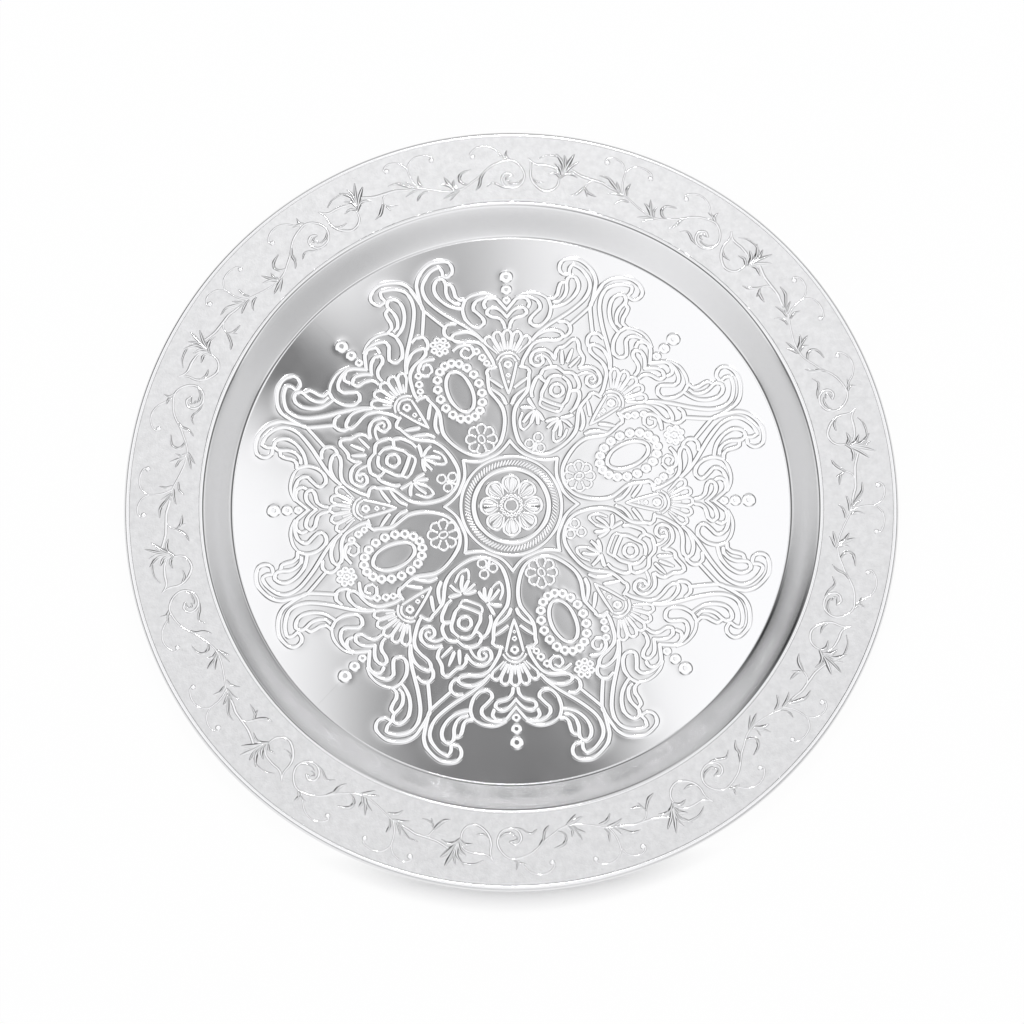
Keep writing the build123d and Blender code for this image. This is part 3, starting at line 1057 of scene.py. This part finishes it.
def studio(world):
    """Studio surroundings, as a light level for each direction.

    A white tent with grey cards overhead, which the flat floor mirrors, a dark band above the table, a black
    card at the far left, and grey cards low down. Each takes a share of the light away, with soft edges.
    """
    world.use_nodes = True
    nodes = Nodes(world.node_tree)
    dx, dy, dz = nodes.split(nodes.add("ShaderNodeTexCoord", output="Generated"))
    # u and v run right and back on a level ceiling, from the place that the floor's middle mirrors
    up = dz.at_least(0.05)
    ceiling = 9.8
    u = dx / up * ceiling - 0.04
    v = dy / up * ceiling - 2.0
    # A grey card hangs over the left half, from back to front
    right = 0.133 - 0.30 * v + 0.04 * v * v
    left = -0.60 + 0.126 * v + 0.065 * v * v
    card = ((right - u) / (0.12 + 0.05 * v)).edge() * ((u - left) / 0.11).edge()
    shade = 0.65 + 0.115 * v + 0.256 * v * v + 0.08 * v.bell(-0.62, 0.3)
    light = 1.08 * (1 - shade * card)
    # A second, straight card slants past its left side. No card is darker than a dark grey.
    slant = math.radians(146.5)
    across = (v - 0.54) * math.cos(slant) - (u + 0.772) * math.sin(slant)
    light = light * (1 - across.bell(0.0, 0.246) * ((-0.55 - u) / 0.14).edge())
    light = light.at_least(0.16)
    # Farther out is the white tent
    tent = 1.12
    beyond = (((u * u + v * v).root() - 1.14) / 0.22).clip()
    light = light + (tent - light) * beyond
    # Above the table runs a dark band: higher in front, paler right of the middle there, none at the back
    level = (dx * dx + dy * dy + 0.000001).root()
    toward = dy / level
    side = dx / level
    front = ((-0.25 - toward) / 0.25).clip()
    back = ((toward - 0.84) / 0.10).clip()
    band = dz.within(0.26 + 0.22 * front, 0.60 + 0.19 * front, 0.08, 0.08)
    depth = 0.84 - 0.08 * toward.bell(0.6, 0.25) - 0.60 * front * side.bell(0.2, 0.55) - 0.82 * back
    light = light * (1 - band * depth)
    # A black card stands at the far left
    far_left = toward.bell(0.62, 0.2) * ((-0.4 - side) / 0.2).clip()
    light = light * (1 - 0.92 * far_left * dz.within(0.08, 0.42, 0.08, 0.08))
    # At the back the tent is grey, with a dark strip lower down
    light = light * (1 - 0.38 * back * ((0.86 - dz) / 0.30).clip())
    dark_strip = dz.within(0.11, 0.34, 0.05, 0.08)
    light = light * (1 - 0.85 * back * dark_strip * side.bell(-0.12, 0.5))
    # Low down stand grey cards: darker at the far corners and the near right, paler behind and near left
    low = ((0.30 + 0.18 * front - dz) / 0.12).clip()
    far_corners = 0.36 * toward.bell(0.62, 0.22)
    near_corners = 0.14 * ((side - 0.3) / 0.3).clip() - 0.20 * side.bell(-0.62, 0.28)
    grey = 0.36 - 0.22 * back + far_corners + front * near_corners
    light = light * (1 - low * grey)
    # The camera itself sees plain white beyond the table
    colour = nodes.add("ShaderNodeCombineColor", {}, {0: light, 1: light, 2: light * 1.01})
    tent_light = nodes.add("ShaderNodeBackground", {}, {"Color": colour, "Strength": 1.0})
    white = nodes.add("ShaderNodeBackground", {}, {"Color": (1, 1, 1, 1), "Strength": 1.0})
    directly = nodes.add("ShaderNodeLightPath", output="Is Camera Ray")
    both = nodes.add("ShaderNodeMixShader", {}, {0: directly, 1: tent_light, 2: white})
    nodes.add("ShaderNodeOutputWorld", {}, {"Surface": both})


scene.world = scene.world or bpy.data.worlds.new("studio")
studio(scene.world)


def soft_lamp(name, place, size, power):
    """A square area lamp aimed at the plate's middle."""
    lamp = bpy.data.lights.new(name, "AREA")
    lamp.size = size
    lamp.energy = power
    holder = bpy.data.objects.new(name, lamp)
    holder.location = place
    holder.rotation_euler = (Vector((0, 0, 0)) - Vector(place)).to_track_quat("-Z", "Y").to_euler()
    scene.collection.objects.link(holder)


soft_lamp("key", place=(0.05, 0.9, 1.6), size=0.22, power=3.5)

# Camera: the photograph's angle, from the front and nearly overhead. The lens is in widths of the sensor.
lens_widths = 2.4985
distance = 1.0
tilt = math.radians(11.4)
swing = math.radians(-1.32)
aim = Vector((0.0002, -0.0025, 0.0))
back = Vector((math.sin(swing) * math.sin(tilt), -math.cos(swing) * math.sin(tilt), math.cos(tilt)))
camera_data = bpy.data.cameras.new("camera")
camera_data.lens = lens_widths * camera_data.sensor_width
camera = bpy.data.objects.new("camera", camera_data)
camera.rotation_mode = "QUATERNION"
camera.location = aim + back * distance
camera.rotation_quaternion = (-back).to_track_quat("-Z", "Y")
scene.collection.objects.link(camera)
scene.camera = camera
